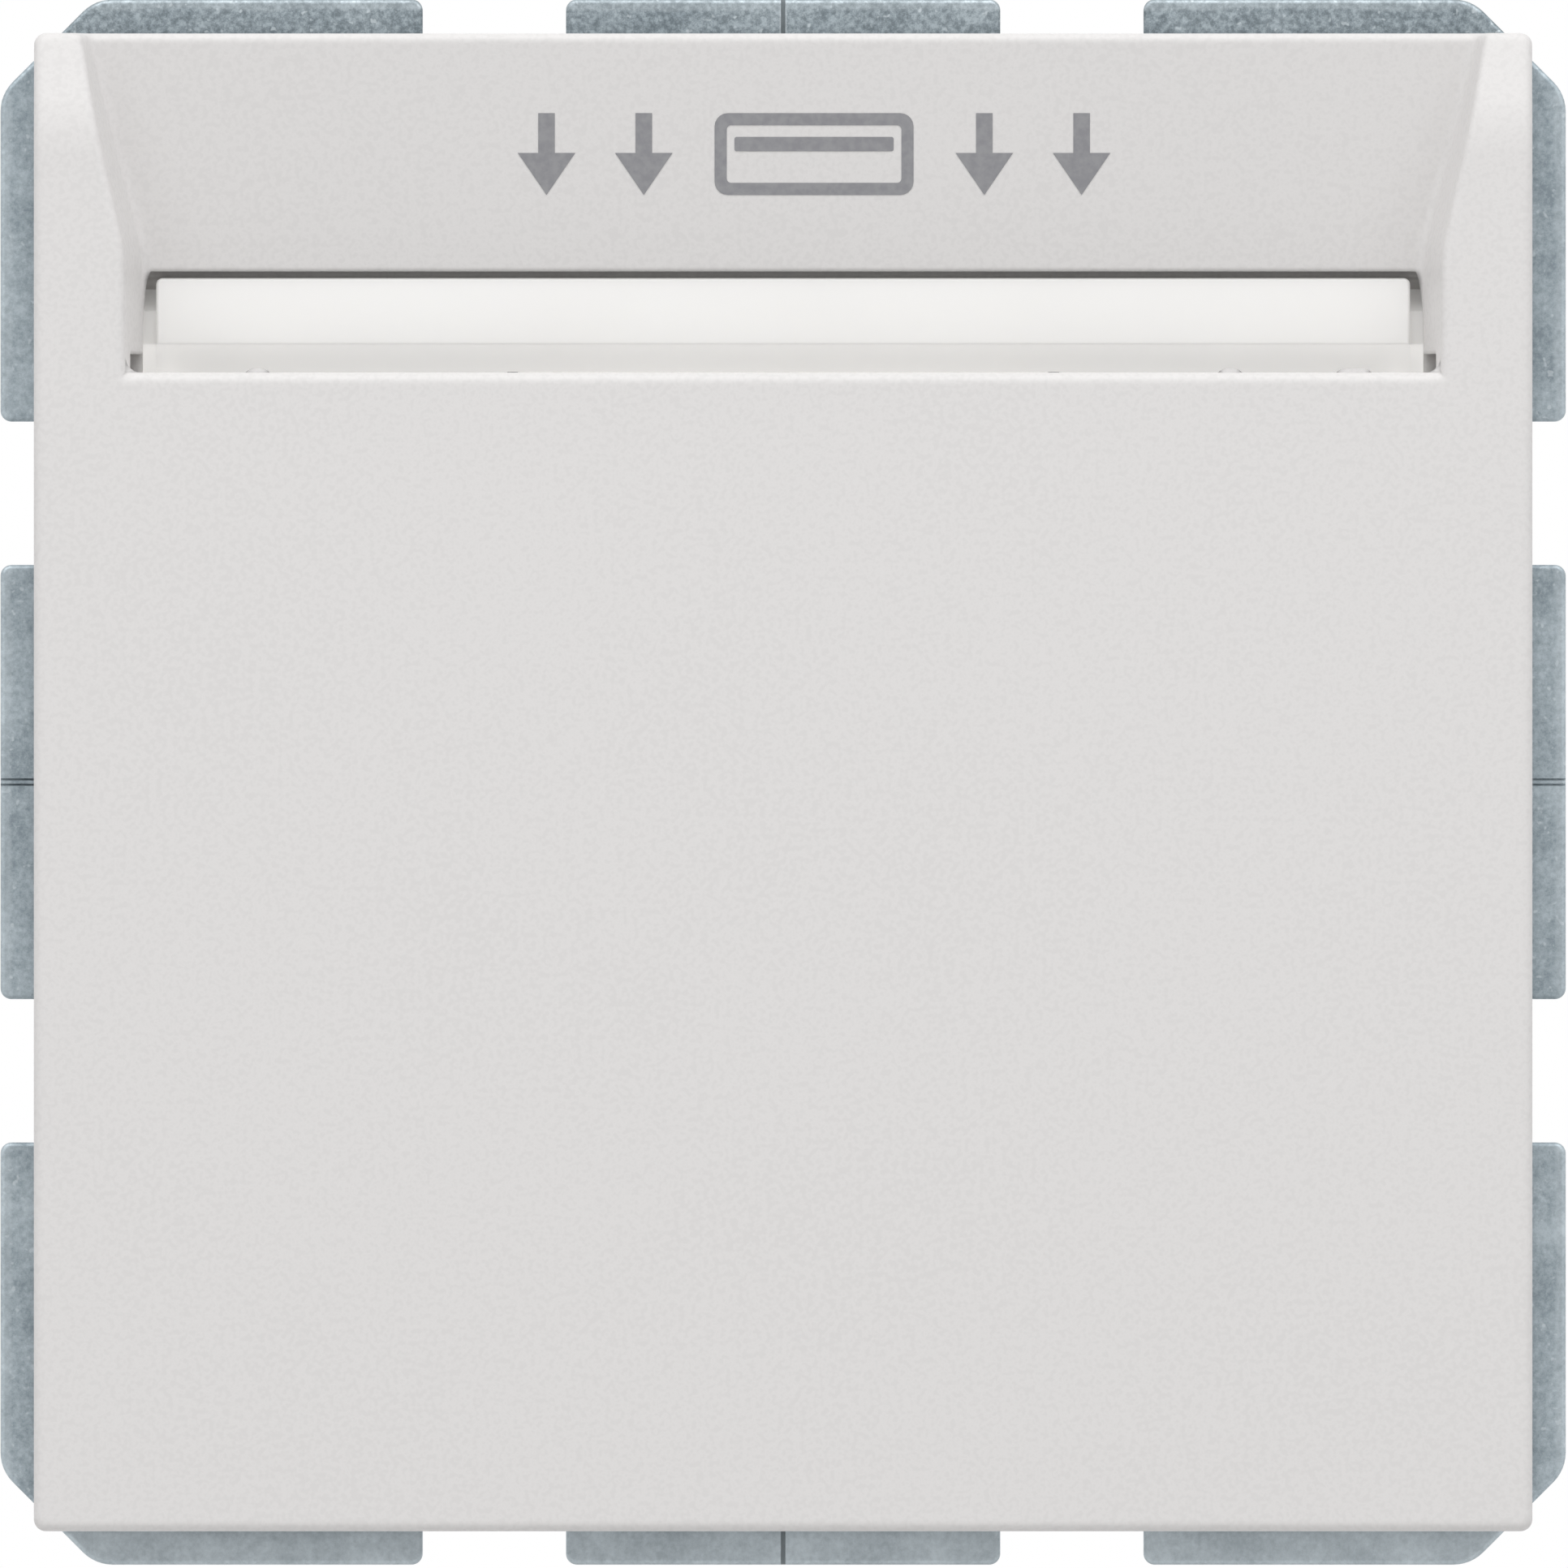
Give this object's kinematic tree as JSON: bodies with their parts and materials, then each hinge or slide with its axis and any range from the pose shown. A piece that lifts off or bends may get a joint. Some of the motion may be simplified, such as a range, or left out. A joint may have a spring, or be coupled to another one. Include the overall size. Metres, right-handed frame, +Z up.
{
  "type": "hotel key card switch",
  "caption": "Flush-mounted key card switch: square white centre plate with a ramped card mouth and lit bar, notched steel support plate, and a switch insert with claws",
  "frame": {"origin": "centre of the support plate's back face, midway between the box screws, in the wall's surface", "axes": "+X to the right and +Z up, seen from the front; +Y into the wall, so the front faces -Y"},
  "size_m": [0.071, 0.0384, 0.071],
  "materials": {
    "white_plastic": "moulded thermoplastic, fine matt texture",
    "opal_plastic": "opal diffuser, smooth",
    "zinc_plate": "zinc-coated sheet steel, mottled",
    "bright_steel": "bright zinc-plated steel",
    "natural_plastic": "unpigmented acetal",
    "dark_plastic": "moulded thermoset, matt",
    "orange_plastic": "moulded thermoplastic, satin",
    "contact_brass": "stamped brass",
    "contact_silver": "silver-faced rivet",
    "lamp_glass": "clear glass",
    "resistor_body": "lacquered ceramic"
  },
  "bodies": {
    "base": {"support_plate": "zinc_plate", "card_guide": "white_plastic", "light_bar": "opal_plastic", "lever_pin": "bright_steel", "plunger_spring": "bright_steel", "housing_base": "dark_plastic", "housing_cap": "dark_plastic", "assembly_screws": "bright_steel", "fixed_contacts": "contact_silver", "common_terminal": "contact_brass", "neutral_terminal": "contact_brass", "make_terminal": "contact_brass", "break_terminal": "contact_brass", "clamp_springs": "bright_steel", "glow_lamp": "lamp_glass", "lamp_electrodes": "bright_steel", "series_resistor": "resistor_body", "lamp_leads": "bright_steel", "lamp_socket": "dark_plastic"},
    "cover": {"centre_plate": "white_plastic"},
    "lever": {"card_lever": "natural_plastic"},
    "plunger": {"plunger": "natural_plastic"},
    "contact": {"contact_arm": "contact_brass", "moving_contact": "contact_silver"},
    "release_top": {"release_button_top": "orange_plastic"},
    "release_bottom": {"release_button_bottom": "orange_plastic"},
    "screw_right": {"claw_screw_right": "bright_steel"},
    "claw_right": {"claw_right": "zinc_plate"},
    "screw_left": {"claw_screw_left": "bright_steel"},
    "claw_left": {"claw_left": "zinc_plate"}
  },
  "joints": [
    {"name": "centre_plate_pull", "type": "slide", "parent": "base", "child": "cover", "axis": [0, -1, 0], "range_m": [0, 0.02]},
    {"name": "card_lever_swing", "type": "hinge", "parent": "base", "child": "lever", "pos_m": [0, -0.0054, 0.004], "axis": [1, 0, 0], "range_deg": [0, 8], "stiffness_Nm_per_rad": 0.08, "springref_deg": -11.46},
    {"name": "plunger_push", "type": "slide", "parent": "base", "child": "plunger", "axis": [0, 1, 0], "range_m": [0, 0.00182], "deforming": ["plunger_spring"]},
    {"name": "contact_arm_swing", "type": "hinge", "parent": "base", "child": "contact", "pos_m": [0, 0.00945, 0.0115], "axis": [1, 0, 0], "range_deg": [0, 5.07]},
    {"name": "release_top_press", "type": "slide", "parent": "base", "child": "release_top", "axis": [0, -1, 0], "range_m": [0, 0.0014], "stiffness_N_per_m": 600, "springref_m": -0.003},
    {"name": "release_bottom_press", "type": "slide", "parent": "base", "child": "release_bottom", "axis": [0, -1, 0], "range_m": [0, 0.0014], "stiffness_N_per_m": 600, "springref_m": -0.003},
    {"name": "claw_screw_right_turn", "type": "hinge", "parent": "base", "child": "screw_right", "pos_m": [0.023, 0, 0], "axis": [0, 1, 0], "range_deg": [0, 1800]},
    {"name": "claw_right_spread", "type": "hinge", "parent": "base", "child": "claw_right", "pos_m": [0.023, 0.0186, 0], "axis": [0, 0, 1], "range_deg": [0, 12]},
    {"name": "claw_screw_left_turn", "type": "hinge", "parent": "base", "child": "screw_left", "pos_m": [-0.023, 0, 0], "axis": [0, 1, 0], "range_deg": [0, 1800]},
    {"name": "claw_left_spread", "type": "hinge", "parent": "base", "child": "claw_left", "pos_m": [-0.023, 0.0186, 0], "axis": [0, 0, -1], "range_deg": [0, 12]}
  ],
  "couplings": [
    {"joint": "plunger_push", "follows": "card_lever_swing", "m_per_rad": 0.013},
    {"joint": "contact_arm_swing", "follows": "card_lever_swing", "ratio": 0.63415},
    {"joint": "claw_right_spread", "follows": "claw_screw_right_turn", "ratio": 0.0066667},
    {"joint": "claw_left_spread", "follows": "claw_screw_left_turn", "ratio": 0.0066667}
  ]
}
